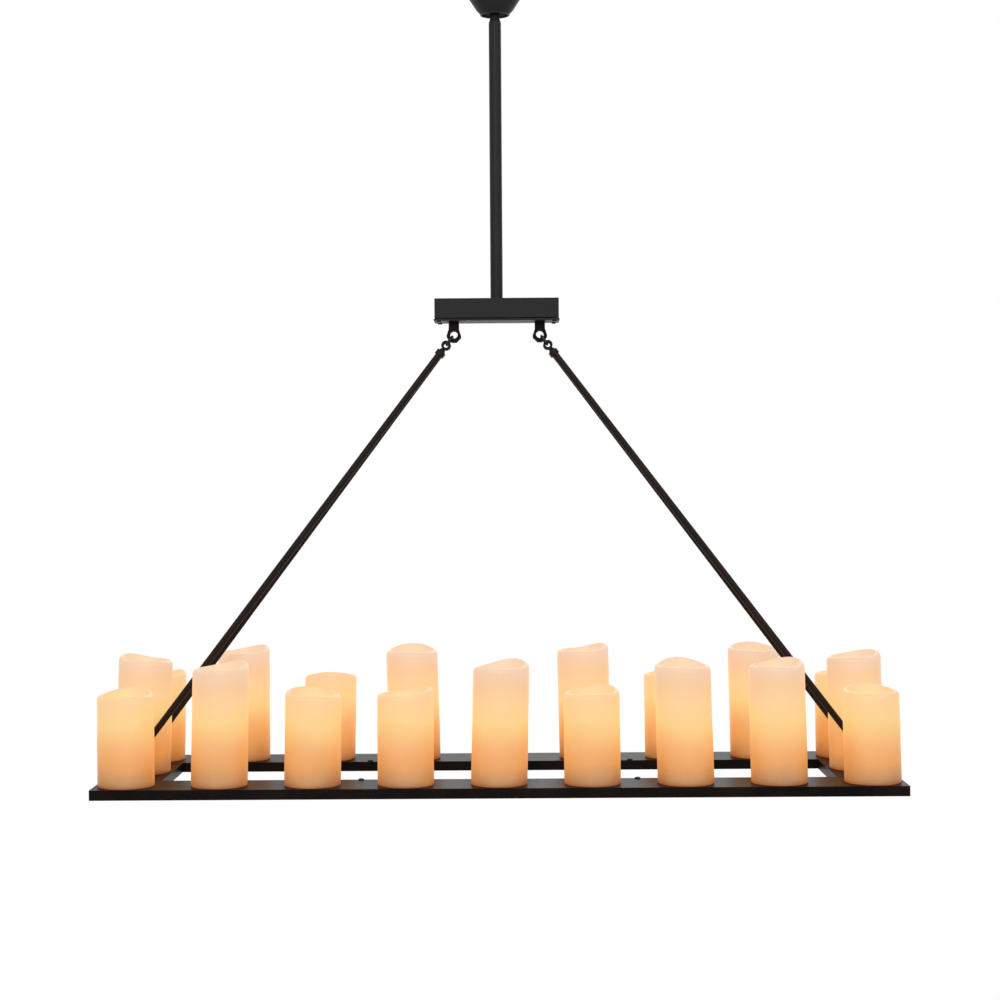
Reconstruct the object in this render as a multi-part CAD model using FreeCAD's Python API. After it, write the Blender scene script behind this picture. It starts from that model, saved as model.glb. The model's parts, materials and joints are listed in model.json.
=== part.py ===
import FreeCAD, Part
import math
import os

# A long rectangular candle pendant, level and at rest, hung from the ceiling.
# Millimetres. X runs along the frame, Y to the back, Z up.
# The origin is the centre of the canopy on the ceiling, so the part hangs down from Z = 0.

# Fits and gaps
RUNNING_FIT = 0.07
FREE_GAP = 0.4
LAID_GAP = 0.1
LINK_PLAY = 0.6
SEAT_PLAY = 0.5
CUTTER_LENGTH = 150.0

# Frame of four mitred channel bars
FRAME_LENGTH = 1200.0
BAR_WIDTH = 92.0
BAR_HEIGHT = 15.0
BAR_SHEET = 2.5
CANDLE_COUNT_ALONG = 9
CEILING_TO_BAR_TOP = 1236.0
BOTTOM_PLATE = 1.5
BOSS_RADIUS = 4.0
BOSS_BORE = 1.6
BOSS_BORE_DEPTH = 8.0
PLATE_SCREW_RADIUS = 1.5
PLATE_SCREW_LENGTH = 7.0
PLATE_HEAD_RADIUS = 3.0
PLATE_HEAD_HEIGHT = 1.4
SCREW_RADIUS = 2.5
SCREW_DEPTH = 6.0
SCREW_HEAD_RADIUS = 4.5
SCREW_HEAD_HEIGHT = 2.4
DECK_SCREW_INSET = 5.5

# Candle sleeves
SLEEVE_BASE_RADIUS = 43.0
SLEEVE_DRAFT_DEGREES = 1.2
SLEEVE_WALL = 4.0
SHORT_SLEEVE = 143.0
TALL_SLEEVE = 181.0
RIM_LOBE_HEIGHT = 9.0
RIM_LOBE_SPREAD = 27.0
RIM_FALL = 1.2
DISH_DEPTH = 19.0
DISH_FLOOR = 3.0
DISH_SLOPE = 3.0
LEAN_RESERVE = 4.0

# Lamps inside the sleeves
SEAT_RADIUS = 36.5
SEAT_HEIGHT = 5.0
HOLDER_RADIUS = 14.0
HOLDER_HEIGHT = 52.0
BULB_BASE_RADIUS = 9.0
BULB_RADIUS = 17.5
BULB_BELLY = 17.0
BULB_TIP_RADIUS = 1.5
BULB_HEIGHT = 56.0

# Ceiling fitting
CANOPY_RADIUS = 55.0
CANOPY_HEIGHT = 68.0
CANOPY_BAND = 14.0
CANOPY_LIP_RADIUS = 21.5
CANOPY_HOLE_RADIUS = 20.0
CANOPY_SHEET = 1.5
CANOPY_BEAD = 1.0
THUMB_SCREW_RADIUS = 2.0
THUMB_HEAD_RADIUS = 5.0
THUMB_HEAD_HEIGHT = 5.0
STRAP_WIDTH = 22.0
STRAP_SHEET = 3.0
STRAP_DROP = 9.0
STRAP_REACH = 50.0
STRAP_STEP = 26.0
STRAP_SLOPE = 5.0
STRAP_TAB = 13.0
CEILING_SLOT_X = 38.0
CEILING_SLOT_WIDTH = 5.0
CEILING_SLOT_LENGTH = 15.0
NIPPLE_RADIUS = 5.0
NIPPLE_BORE = 3.2
NIPPLE_TOP = 5.0
NIPPLE_REACH = 14.0
FLANGE_RADIUS = 8.0
FLANGE_HEIGHT = 3.0
LOCKNUT_FLATS = 15.0
LOCKNUT_HEIGHT = 4.0
YOKE_NUT_RADIUS = 7.5
YOKE_WIDTH = 13.0
YOKE_PLATE_DEPTH = 19.0
SWIVEL_DEPTH = 40.0
PIN_RADIUS = 2.5
SWIVEL_HALF = 8.0
CROSS_HEIGHT = 10.0
CROSS_BORE = 2.0
ARM_SHEET = 3.0

# Stem and hub
STEM_RADIUS = 9.5
STEM_WALL = 1.5
CLEVIS_WIDTH = 11.0
CLEVIS_DROP = 11.0
CLEVIS_WEB = 5.0
STEM_PLUG = 14.0
WIRE_BORE = 3.0
NECK_RADIUS = 7.4
NECK_END = 74.0
STEM_TOP = 80.0
SET_SCREW_RADIUS = 1.6
SET_SCREW_HEAD = 2.6
SET_SCREW_LENGTH = 2.4
SET_SCREW_RISE = 3.5
HUB_LENGTH = 191.0
HUB_DEPTH = 60.0
CEILING_TO_HUB = 507.0
HUB_HEIGHT = 30.0
HUB_SHEET = 2.0
HUB_CORNER = 2.0
HUB_POST = 10.0
HUB_COVER_GAP = 1.4
HUB_COVER = 3.0
HUB_COVER_OVERHANG = 1.0
STEM_END = 12.0
STEM_NUT_FLATS = 28.0
STEM_NUT_HEIGHT = 7.0
COVER_SCREW_RADIUS = 1.6
COVER_SCREW_GRIP = 8.0
COVER_HEAD_RADIUS = 3.2
COVER_HEAD_HEIGHT = 1.8

# Lugs, links and rods
LUG_INSET = 29.0
LUG_Y = 11.0
LUG_SHEET = 3.0
LUG_NECK = 15.6
LUG_WIDTH = 22.0
LUG_LENGTH = 31.6
LUG_FLARE = 11.5
LUG_HOLE_RADIUS = 6.0
LUG_HOLE_DROP = 20.2
LUG_WIDEST = 4.5
LUG_CHAMFER = 7.2
LUG_SCREW_RADIUS = 3.0
LUG_SCREW_HEAD = 5.0
LUG_NUT_FLATS = 10.0
WIRE_RADIUS = 1.75
LINK_RADIUS = 7.5
EYE_RADIUS = 5.5
ROD_RADIUS = 4.9
COLLAR_RADIUS = 7.0
COLLAR_LENGTH = 8.0
SHANK_LENGTH = 6.0
FOOT_INSET = 40.0
FOOT_HEIGHT = 22.0
FOOT_BLADE = 6.0
FOOT_BLADE_WIDTH = 12.0
FOOT_BLADE_LENGTH = 18.0
FOOT_COLLAR_RADIUS = 6.4
FOOT_EYE_RADIUS = 10.0
FOOT_BOLT_RADIUS = 4.0
FOOT_NUT_FLATS = 13.0
FOOT_NUT_HEIGHT = 4.0
CHEEK = 3.0
CHEEK_RADIUS = 9.0
FOOT_BASE_LENGTH = 46.0
FOOT_BASE_MARGIN = 3.0
FOOT_SCREW_INSET = 6.5

# Sizes that follow from the ones above
PITCH = (FRAME_LENGTH - BAR_WIDTH) / (CANDLE_COUNT_ALONG - 1)
HALF_LENGTH = FRAME_LENGTH / 2
HALF_DEPTH = PITCH + BAR_WIDTH / 2
BAR_TOP_Z = -CEILING_TO_BAR_TOP
BAR_BOTTOM_Z = BAR_TOP_Z - BAR_HEIGHT
BORE_RADIUS = SEAT_RADIUS + SEAT_PLAY
STRAP_LOW_Z = -STRAP_DROP - STRAP_SHEET
YOKE_NUT_Z = STRAP_LOW_Z - NIPPLE_REACH
SWIVEL_Z = -SWIVEL_DEPTH
SWIVEL_REACH = SWIVEL_HALF + FREE_GAP + ARM_SHEET
THUMB_SCREW_Z = -CANOPY_BAND / 2
NECK_END_Z = -NECK_END
STEM_TOP_Z = -STEM_TOP
HUB_TOP_Z = -CEILING_TO_HUB
COVER_TOP_Z = HUB_TOP_Z - HUB_HEIGHT - HUB_COVER_GAP
COVER_BOTTOM_Z = COVER_TOP_Z - HUB_COVER
LUG_X = HUB_LENGTH / 2 - LUG_INSET
HOLE_Z = COVER_BOTTOM_Z - LUG_HOLE_DROP
FOOT_X = HALF_LENGTH - FOOT_INSET
FOOT_Y = PITCH / 2
FOOT_Z = BAR_TOP_Z + FOOT_HEIGHT
CHEEK_INNER = FOOT_BLADE / 2 + FREE_GAP

# The canopy's bell between its lip and its straight band: share of the way out, share up.
CANOPY_BELL = ((0.22, 0.15), (0.51, 0.43), (0.78, 0.70))

# Where each candle stands, in pitches from the centre: name, along, across, height,
# turn of the rim lobe in degrees (0 is to the right, 90 to the back), lean to the right.
CANDLES = (
    ("candle_front_1", -4, -1, SHORT_SLEEVE, 95, 0.0),
    ("candle_front_2", -3, -1, TALL_SLEEVE, 5, 0.0),
    ("candle_front_3", -2, -1, SHORT_SLEEVE, 180, 0.0),
    ("candle_front_4", -1, -1, SHORT_SLEEVE, 0, 0.0),
    ("candle_front_5", 0, -1, TALL_SLEEVE, 10, 0.0),
    ("candle_front_6", 1, -1, SHORT_SLEEVE, 350, 0.0),
    ("candle_front_7", 2, -1, TALL_SLEEVE, 215, 0.0),
    ("candle_front_8", 3, -1, TALL_SLEEVE, 20, 0.0),
    ("candle_front_9", 4, -1, SHORT_SLEEVE, 85, 0.0),
    ("candle_back_1", -4, 1, SHORT_SLEEVE, 200, -0.8),
    ("candle_back_2", -3, 1, TALL_SLEEVE, 330, 0.0),
    ("candle_back_3", -2, 1, SHORT_SLEEVE, 120, -1.0),
    ("candle_back_4", -1, 1, TALL_SLEEVE, 80, 1.2),
    ("candle_back_5", 0, 1, SHORT_SLEEVE, 60, 0.0),
    ("candle_back_6", 1, 1, TALL_SLEEVE, 0, 1.4),
    ("candle_back_7", 2, 1, SHORT_SLEEVE, 100, 1.2),
    ("candle_back_8", 3, 1, TALL_SLEEVE, 225, 1.4),
    ("candle_back_9", 4, 1, SHORT_SLEEVE, 140, 1.2),
    ("candle_left", -4, 0, TALL_SLEEVE, 160, 1.8),
    ("candle_right", 4, 0, TALL_SLEEVE, 15, -1.0),
)


def vec(x, y, z):
    return FreeCAD.Vector(x, y, z)


UP = vec(0, 0, 1)
ALONG = vec(1, 0, 0)
ACROSS = vec(0, 1, 0)


def cylinder(radius, length, start, direction=UP):
    return Part.makeCylinder(radius, length, start, direction)


def through(radius, middle, direction=UP):
    """A long cutter for a hole, centred on a point."""
    return cylinder(radius, CUTTER_LENGTH, middle - direction * (CUTTER_LENGTH / 2), direction)


def block(x_size, y_size, z_size, centre):
    corner = vec(centre.x - x_size / 2, centre.y - y_size / 2, centre.z - z_size / 2)
    return Part.makeBox(x_size, y_size, z_size, corner)


def prism(points, travel):
    wire = Part.makePolygon(list(points) + [points[0]])
    return Part.Face(wire).extrude(travel)


def hexagon(across_flats, height, start, direction=UP):
    corner = across_flats / math.sqrt(3)
    turns = [math.radians(60 * k) for k in range(6)]
    points = [vec(corner * math.cos(a), corner * math.sin(a), 0) for a in turns]
    nut = prism(points, vec(0, 0, height))
    nut.Placement = FreeCAD.Placement(start, FreeCAD.Rotation(UP, direction))
    return nut


def turned(points, start=None, direction=UP):
    """Revolves a closed outline, given as radius and height, about its own axis."""
    ring = [vec(r, 0, z) for r, z in points]
    outline = Part.makePolygon(ring + [ring[0]])
    solid = Part.Face(outline).revolve(vec(0, 0, 0), UP, 360)
    if start is not None:
        solid.Placement = FreeCAD.Placement(start, FreeCAD.Rotation(UP, direction))
    return solid


def mirrored(shape):
    """The left-hand twin of a right-hand piece."""
    return shape.mirror(vec(0, 0, 0), ALONG)


# ---------------------------------------------------------------- ceiling fitting

def crossbar():
    """Hat-shaped strap on the ceiling: low in the middle, ends bent down for the canopy."""
    half = STRAP_REACH
    inner = half - STRAP_SHEET
    lip = STRAP_SHEET / 2
    right = [
        (half, 0), (half, -STRAP_TAB), (inner, -STRAP_TAB), (inner, -STRAP_SHEET),
        (STRAP_STEP + lip, -STRAP_SHEET), (STRAP_STEP - STRAP_SLOPE + lip, STRAP_LOW_Z),
    ]
    top = [(STRAP_STEP - STRAP_SLOPE, -STRAP_DROP), (STRAP_STEP, 0)]
    outline = [vec(x, 0, z) for x, z in top + right]
    outline += [vec(-x, 0, z) for x, z in reversed(top + right)]
    strap = prism(outline, vec(0, STRAP_WIDTH, 0))
    strap.translate(vec(0, -STRAP_WIDTH / 2, 0))
    cuts = [through(NIPPLE_RADIUS + LAID_GAP, vec(0, 0, 0))]
    straight = CEILING_SLOT_LENGTH - CEILING_SLOT_WIDTH
    for side in (-1, 1):
        middle = vec(side * CEILING_SLOT_X, 0, 0)
        cuts.append(block(straight, CEILING_SLOT_WIDTH, 4 * STRAP_SHEET, middle))
        for end in (-1, 1):
            cuts.append(through(CEILING_SLOT_WIDTH / 2, middle + ALONG * (end * straight / 2)))
        cuts.append(cylinder(THUMB_SCREW_RADIUS + LAID_GAP, 3 * STRAP_SHEET,
                             vec(side * (half - 2 * STRAP_SHEET), 0, THUMB_SCREW_Z), vec(side, 0, 0)))
    for cut in cuts:
        strap = strap.cut(cut)
    return strap.removeSplitter()


def canopy_body(inset, top):
    """The canopy's bell as a solid; inset moves the surface inward for the hollow."""
    rise = CANOPY_HEIGHT - CANOPY_BAND
    reach = CANOPY_RADIUS - CANOPY_LIP_RADIUS
    outline = [(0, -CANOPY_HEIGHT + inset), (CANOPY_LIP_RADIUS - 0.6 * inset, -CANOPY_HEIGHT + inset)]
    for out, up in CANOPY_BELL:
        outline.append((CANOPY_LIP_RADIUS + out * reach - inset,
                        -CANOPY_HEIGHT + up * rise + 0.3 * inset * (1 - up)))
    outline += [(CANOPY_RADIUS - inset, -CANOPY_BAND), (CANOPY_RADIUS - inset, top), (0, top)]
    return turned(outline)


def canopy():
    """Spun bell cup, open to the ceiling, with a rolled lip round the stem opening."""
    shell = canopy_body(0, 0).cut(canopy_body(CANOPY_SHEET, CANOPY_SHEET))
    shell = shell.cut(cylinder(CANOPY_HOLE_RADIUS, 2 * CANOPY_BAND,
                               vec(0, 0, -CANOPY_HEIGHT - CANOPY_BAND)))
    low = -CANOPY_HEIGHT
    edge = CANOPY_LIP_RADIUS + CANOPY_BEAD
    bead = turned([
        (CANOPY_HOLE_RADIUS, low - CANOPY_BEAD / 2), (edge, low - CANOPY_BEAD / 2),
        (edge, low + CANOPY_BEAD), (CANOPY_HOLE_RADIUS, low + CANOPY_BEAD),
    ])
    shell = shell.fuse(bead)
    return shell.cut(through(THUMB_SCREW_RADIUS + LAID_GAP, vec(0, 0, THUMB_SCREW_Z), ALONG))


def canopy_screws():
    """Two round-headed screws that hold the canopy to the strap's bent ends."""
    screws = []
    for side in (-1, 1):
        out = vec(side, 0, 0)
        inner = STRAP_REACH - 2 * STRAP_SHEET
        shank = cylinder(THUMB_SCREW_RADIUS, CANOPY_RADIUS - inner + 1.0,
                         vec(side * inner, 0, THUMB_SCREW_Z), out)
        head = cylinder(THUMB_HEAD_RADIUS, THUMB_HEAD_HEIGHT,
                        vec(side * CANOPY_RADIUS, 0, THUMB_SCREW_Z), out)
        screws.append(shank.fuse(head))
    return Part.makeCompound(screws)


def swivel_nipple():
    """Hollow nipple through the strap, with the flange that the yoke turns against."""
    tube = cylinder(NIPPLE_RADIUS, STRAP_SHEET + NIPPLE_TOP + NIPPLE_REACH, vec(0, 0, YOKE_NUT_Z))
    flange = cylinder(FLANGE_RADIUS, FLANGE_HEIGHT, vec(0, 0, STRAP_LOW_Z - FLANGE_HEIGHT))
    return tube.fuse(flange).cut(through(NIPPLE_BORE, vec(0, 0, 0)))


def nipple_locknut():
    nut = hexagon(LOCKNUT_FLATS, LOCKNUT_HEIGHT, vec(0, 0, -STRAP_DROP))
    return nut.cut(through(NIPPLE_RADIUS + LAID_GAP / 2, vec(0, 0, 0)))


def yoke_nut():
    """Round nut that keeps the turning yoke on the nipple."""
    nut = cylinder(YOKE_NUT_RADIUS, LOCKNUT_HEIGHT, vec(0, 0, YOKE_NUT_Z))
    return nut.cut(through(NIPPLE_RADIUS + LAID_GAP / 2, vec(0, 0, 0)))


def swivel_yoke():
    """Fork that turns on the nipple and carries the cross on two pin holes along X."""
    top = STRAP_LOW_Z - FLANGE_HEIGHT - FREE_GAP
    low = YOKE_NUT_Z + LOCKNUT_HEIGHT + FREE_GAP
    yoke = block(2 * SWIVEL_REACH, YOKE_PLATE_DEPTH, top - low, vec(0, 0, (top + low) / 2))
    drop = top - SWIVEL_Z
    for side in (-1, 1):
        arm = block(ARM_SHEET, YOKE_WIDTH, drop, vec(side * (SWIVEL_REACH - ARM_SHEET / 2), 0, top - drop / 2))
        tip = cylinder(YOKE_WIDTH / 2, ARM_SHEET, vec(side * (SWIVEL_REACH - ARM_SHEET), 0, SWIVEL_Z),
                       vec(side, 0, 0))
        yoke = yoke.fuse(arm).fuse(tip)
    yoke = yoke.cut(through(NIPPLE_RADIUS + RUNNING_FIT, vec(0, 0, 0)))
    return yoke.cut(through(PIN_RADIUS + RUNNING_FIT, vec(0, 0, SWIVEL_Z), ALONG)).removeSplitter()


def swivel_cross():
    """The cross of the swivel: a block with one pin along X and one along Y."""
    core = block(2 * SWIVEL_HALF, 2 * SWIVEL_HALF, CROSS_HEIGHT, vec(0, 0, SWIVEL_Z))
    for axis in (ALONG, ACROSS):
        start = vec(0, 0, SWIVEL_Z) - axis * SWIVEL_REACH
        core = core.fuse(cylinder(PIN_RADIUS, 2 * SWIVEL_REACH, start, axis))
    return core.cut(through(CROSS_BORE, vec(0, 0, SWIVEL_Z))).removeSplitter()


# ---------------------------------------------------------------- stem and hub

def stem_clevis():
    """Fork on the cross, running down as a neck that flares out to the stem's width."""
    seat = SWIVEL_Z - CLEVIS_DROP
    plug = STEM_RADIUS - STEM_WALL - LAID_GAP / 2
    body = turned([
        (0, seat), (NECK_RADIUS, seat), (NECK_RADIUS, NECK_END_Z), (STEM_RADIUS, STEM_TOP_Z),
        (plug, STEM_TOP_Z), (plug, STEM_TOP_Z - STEM_PLUG), (0, STEM_TOP_Z - STEM_PLUG),
    ])
    body = body.fuse(block(CLEVIS_WIDTH, 2 * SWIVEL_REACH, CLEVIS_WEB, vec(0, 0, seat - CLEVIS_WEB / 2)))
    rise = CLEVIS_DROP + CLEVIS_WEB
    for side in (-1, 1):
        arm = block(CLEVIS_WIDTH, ARM_SHEET, rise,
                    vec(0, side * (SWIVEL_REACH - ARM_SHEET / 2), SWIVEL_Z - rise / 2))
        tip = cylinder(CLEVIS_WIDTH / 2, ARM_SHEET, vec(0, side * (SWIVEL_REACH - ARM_SHEET), SWIVEL_Z),
                       vec(0, side, 0))
        body = body.fuse(arm).fuse(tip)
    body = body.cut(through(PIN_RADIUS + RUNNING_FIT, vec(0, 0, SWIVEL_Z), ACROSS))
    body = body.cut(through(WIRE_BORE, vec(0, 0, SWIVEL_Z)))
    seat_hole = cylinder(SET_SCREW_RADIUS + LAID_GAP, 2 * SET_SCREW_LENGTH, set_screw_start(), -ALONG)
    return body.cut(seat_hole).removeSplitter()


def set_screw_start():
    """Where the set screw's shank begins, in the wall of the neck."""
    return vec(-(NECK_RADIUS + WIRE_BORE) / 2, 0, NECK_END_Z + SET_SCREW_RISE)


def stem_set_screw():
    """Small screw in the side of the neck, which keeps the wires' cover from turning."""
    start = set_screw_start()
    start.x -= LAID_GAP
    surface = vec(-NECK_RADIUS - LAID_GAP, 0, start.z)
    shank = cylinder(SET_SCREW_RADIUS, start.x - surface.x + SET_SCREW_LENGTH, start, -ALONG)
    return shank.fuse(cylinder(SET_SCREW_HEAD, SET_SCREW_LENGTH, surface, -ALONG))


def stem_tube():
    low = HUB_TOP_Z - HUB_SHEET - STEM_END
    tube = cylinder(STEM_RADIUS, STEM_TOP_Z - low, vec(0, 0, low))
    return tube.cut(cylinder(STEM_RADIUS - STEM_WALL, STEM_TOP_Z - low, vec(0, 0, low)))


def stem_nut():
    """Hexagon nut under the hub's top sheet."""
    nut = hexagon(STEM_NUT_FLATS, STEM_NUT_HEIGHT, vec(0, 0, HUB_TOP_Z - HUB_SHEET - STEM_NUT_HEIGHT))
    return nut.cut(through(STEM_RADIUS + LAID_GAP / 2, vec(0, 0, HUB_TOP_Z)))


def hub_post_places():
    x = HUB_LENGTH / 2 - HUB_SHEET - HUB_POST / 2
    y = HUB_DEPTH / 2 - HUB_SHEET - HUB_POST / 2
    return [vec(sx * x, sy * y, COVER_TOP_Z) for sx in (-1, 1) for sy in (-1, 1)]


def hub_box():
    """Folded box, open below, with four corner posts that the cover screws into."""
    middle = vec(0, 0, HUB_TOP_Z - HUB_HEIGHT / 2)
    shell = block(HUB_LENGTH, HUB_DEPTH, HUB_HEIGHT, middle)
    upright = [e for e in shell.Edges if abs(e.tangentAt(e.FirstParameter).z) > 0.9]
    shell = shell.makeFillet(HUB_CORNER, upright)
    shell = shell.cut(block(HUB_LENGTH - 2 * HUB_SHEET, HUB_DEPTH - 2 * HUB_SHEET, HUB_HEIGHT,
                            middle - vec(0, 0, HUB_SHEET)))
    length = HUB_HEIGHT + HUB_COVER_GAP - HUB_SHEET / 2
    for place in hub_post_places():
        post = block(HUB_POST, HUB_POST, length, place + vec(0, 0, length / 2))
        hole = cylinder(COVER_SCREW_RADIUS + LAID_GAP, COVER_SCREW_GRIP + 2 * HUB_SHEET, place)
        shell = shell.fuse(post.cut(hole))
    return shell.cut(cylinder(STEM_RADIUS + LAID_GAP, 2 * HUB_SHEET, vec(0, 0, HUB_TOP_Z - HUB_SHEET)))


def hub_cover():
    """Flat lid a little wider than the box, standing off it on the corner posts."""
    lid = block(HUB_LENGTH + 2 * HUB_COVER_OVERHANG, HUB_DEPTH + 2 * HUB_COVER_OVERHANG,
                HUB_COVER, vec(0, 0, COVER_TOP_Z - HUB_COVER / 2))
    for place in hub_post_places():
        lid = lid.cut(through(COVER_SCREW_RADIUS + LAID_GAP, place))
    for side in (-1, 1):
        lid = lid.cut(through(LUG_SCREW_RADIUS + LAID_GAP, vec(side * LUG_X, 0, COVER_TOP_Z)))
    return lid


def hub_cover_screws():
    screws = []
    for place in hub_post_places():
        base = place - vec(0, 0, HUB_COVER)
        shank = cylinder(COVER_SCREW_RADIUS, HUB_COVER + COVER_SCREW_GRIP, base)
        head = cylinder(COVER_HEAD_RADIUS, COVER_HEAD_HEIGHT, base - vec(0, 0, COVER_HEAD_HEIGHT))
        screws.append(shank.fuse(head))
    return Part.makeCompound(screws)


def lug():
    """Bent strap under the cover, seen from the right: a web with two shaped ears."""
    top = COVER_BOTTOM_Z
    low = top - LUG_LENGTH
    half = LUG_NECK / 2
    side = LUG_WIDTH / 2
    right = [
        (half, top), (half, top - LUG_FLARE), (side, HOLE_Z - LUG_WIDEST + LUG_CHAMFER / 2),
        (side, low + LUG_CHAMFER), (side - LUG_CHAMFER, low),
    ]
    outline = [vec(LUG_X + x, 0, z) for x, z in right]
    outline += [vec(LUG_X - x, 0, z) for x, z in reversed(right)]
    strap = block(LUG_NECK, 2 * LUG_Y + LUG_SHEET, LUG_SHEET, vec(LUG_X, 0, top - LUG_SHEET / 2))
    for y in (-LUG_Y, LUG_Y):
        ear = prism(outline, vec(0, LUG_SHEET, 0))
        ear.translate(vec(0, y - LUG_SHEET / 2, 0))
        strap = strap.fuse(ear)
    strap = strap.cut(through(LUG_HOLE_RADIUS, vec(LUG_X, 0, HOLE_Z), ACROSS))
    return strap.cut(through(LUG_SCREW_RADIUS + LAID_GAP, vec(LUG_X, 0, top))).removeSplitter()


def lug_screws():
    """One screw in each strap's web, with its nut inside the hub."""
    screws = []
    for side in (-1, 1):
        base = vec(side * LUG_X, 0, COVER_BOTTOM_Z - LUG_SHEET)
        shank = cylinder(LUG_SCREW_RADIUS, 2 * LUG_SHEET + HUB_COVER + LUG_SCREW_HEAD, base)
        head = cylinder(LUG_SCREW_HEAD, LUG_SCREW_HEAD, base - vec(0, 0, LUG_SCREW_HEAD))
        nut = hexagon(LUG_NUT_FLATS, LUG_SCREW_HEAD, vec(side * LUG_X, 0, COVER_TOP_Z))
        screws.append(shank.fuse(head).fuse(nut))
    return Part.makeCompound(screws)


# ---------------------------------------------------------------- links and rods

def slant():
    """Direction in which the rods hang from the lug hole, in the plane of the ears."""
    line = vec(FOOT_X - LUG_X, 0, FOOT_Z - HOLE_Z)
    return line.normalize()


def link_seat():
    """How far the link's wire lies from the hole's centre, hanging near the hole's edge."""
    return LUG_HOLE_RADIUS - WIRE_RADIUS - LINK_PLAY


def eye_distance():
    """From the hole's centre to the eye's centre, through the closed link."""
    return link_seat() + 2 * LINK_RADIUS + EYE_RADIUS - 2 * WIRE_RADIUS - FREE_GAP


def rod_line(sign):
    """The rod's start at its eye, its direction and its length down to the foot bolt."""
    start = vec(LUG_X, sign * LUG_Y, HOLE_Z) + slant() * eye_distance()
    line = vec(FOOT_X, sign * FOOT_Y, FOOT_Z) - start
    length = line.Length
    return start, line.normalize(), length


def wire_ring(radius, middle, normal):
    """A closed ring of wire, its round section drawn with eight flats."""
    turns = [math.radians(22.5 + 45 * k) for k in range(8)]
    reach = WIRE_RADIUS / math.cos(math.radians(22.5))
    return turned([(radius + reach * math.cos(a), reach * math.sin(a)) for a in turns], middle, normal)


def link_rings():
    """Two closed wire links, one through each ear, square to the ears."""
    rings = []
    for y in (-LUG_Y, LUG_Y):
        middle = vec(LUG_X, y, HOLE_Z) + slant() * (link_seat() + LINK_RADIUS)
        rings.append(wire_ring(LINK_RADIUS, middle, ACROSS.cross(slant())))
    return Part.makeCompound(rings)


def rod(sign):
    """Long rod with a wire eye, a tapered shank and a collar above, and a flat eye below."""
    start, line, length = rod_line(sign)
    shank_start = EYE_RADIUS - WIRE_RADIUS / 2
    collar_start = EYE_RADIUS + SHANK_LENGTH
    collar_end = collar_start + COLLAR_LENGTH
    foot_end = length - FOOT_BLADE_LENGTH + FOOT_BLADE / 4
    foot_start = foot_end - COLLAR_LENGTH
    body = turned([
        (0, shank_start), (WIRE_RADIUS, shank_start), (ROD_RADIUS, collar_start),
        (COLLAR_RADIUS, collar_start), (COLLAR_RADIUS, collar_end), (ROD_RADIUS, collar_end),
        (ROD_RADIUS, foot_start), (FOOT_COLLAR_RADIUS, foot_start), (FOOT_COLLAR_RADIUS, foot_end),
        (0, foot_end),
    ], start, line)
    foot = vec(FOOT_X, sign * FOOT_Y, FOOT_Z)
    eye = cylinder(FOOT_EYE_RADIUS, FOOT_BLADE, foot - ACROSS * (FOOT_BLADE / 2), ACROSS)
    blade = Part.makeBox(FOOT_BLADE_WIDTH, FOOT_BLADE, FOOT_BLADE_LENGTH,
                         vec(-FOOT_BLADE_WIDTH / 2, -FOOT_BLADE / 2, 0))
    tilt = math.degrees(math.atan2(slant().x, -slant().z))
    blade.Placement = FreeCAD.Placement(foot, FreeCAD.Rotation(ACROSS, -tilt))
    body = body.fuse(wire_ring(EYE_RADIUS, start, ACROSS)).fuse(eye).fuse(blade)
    return body.cut(through(FOOT_BOLT_RADIUS + RUNNING_FIT, foot, ACROSS))


# ---------------------------------------------------------------- frame

def bar_outline(outer, inner):
    """Mitred strip along X between two distances from the frame's middle, at Z = 0."""
    end_outer = HALF_LENGTH - (HALF_DEPTH - outer)
    end_inner = HALF_LENGTH - (HALF_DEPTH - inner)
    return [
        vec(-end_outer, -outer, 0), vec(end_outer, -outer, 0),
        vec(end_inner, -inner, 0), vec(-end_inner, -inner, 0),
    ]


def end_outline(outer, inner):
    """Mitred strip along Y at the right-hand end, at Z = 0."""
    y_outer = HALF_DEPTH - (HALF_LENGTH - outer)
    y_inner = HALF_DEPTH - (HALF_LENGTH - inner)
    return [
        vec(outer, -y_outer, 0), vec(outer, y_outer, 0),
        vec(inner, y_inner, 0), vec(inner, -y_inner, 0),
    ]


def channel(outline, outer, boss_places):
    """Upside-down channel: top sheet, two skirts, open mitred ends and threaded bosses."""
    inner = outer - BAR_WIDTH
    bar = prism(outline(outer, inner), vec(0, 0, BAR_HEIGHT))
    hollow = prism(outline(outer - BAR_SHEET, inner + BAR_SHEET), vec(0, 0, BAR_HEIGHT - BAR_SHEET))
    bar = bar.cut(hollow)
    bar.translate(vec(0, 0, BAR_BOTTOM_Z))
    low = BAR_BOTTOM_Z + BOTTOM_PLATE
    height = BAR_HEIGHT - BOTTOM_PLATE - BAR_SHEET / 2
    for x, y in boss_places:
        post = cylinder(BOSS_RADIUS, height, vec(x, y, low))
        bar = bar.fuse(post.cut(cylinder(BOSS_BORE, BOSS_BORE_DEPTH, vec(x, y, low))))
    for x, y in deck_screw_places():
        bar = bar.cut(through(SCREW_RADIUS, vec(x, y, BAR_TOP_Z)))
    return bar.removeSplitter()


def front_boss_places():
    return [(k * PITCH, -PITCH) for k in (-2.5, -0.5, 0.5, 2.5)]


def end_boss_places():
    return [(HALF_LENGTH - BAR_WIDTH / 2, k * PITCH) for k in (-0.3, 0.3)]


def bar_front():
    return channel(bar_outline, HALF_DEPTH, front_boss_places())


def bar_right():
    return channel(end_outline, HALF_LENGTH, end_boss_places())


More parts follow.
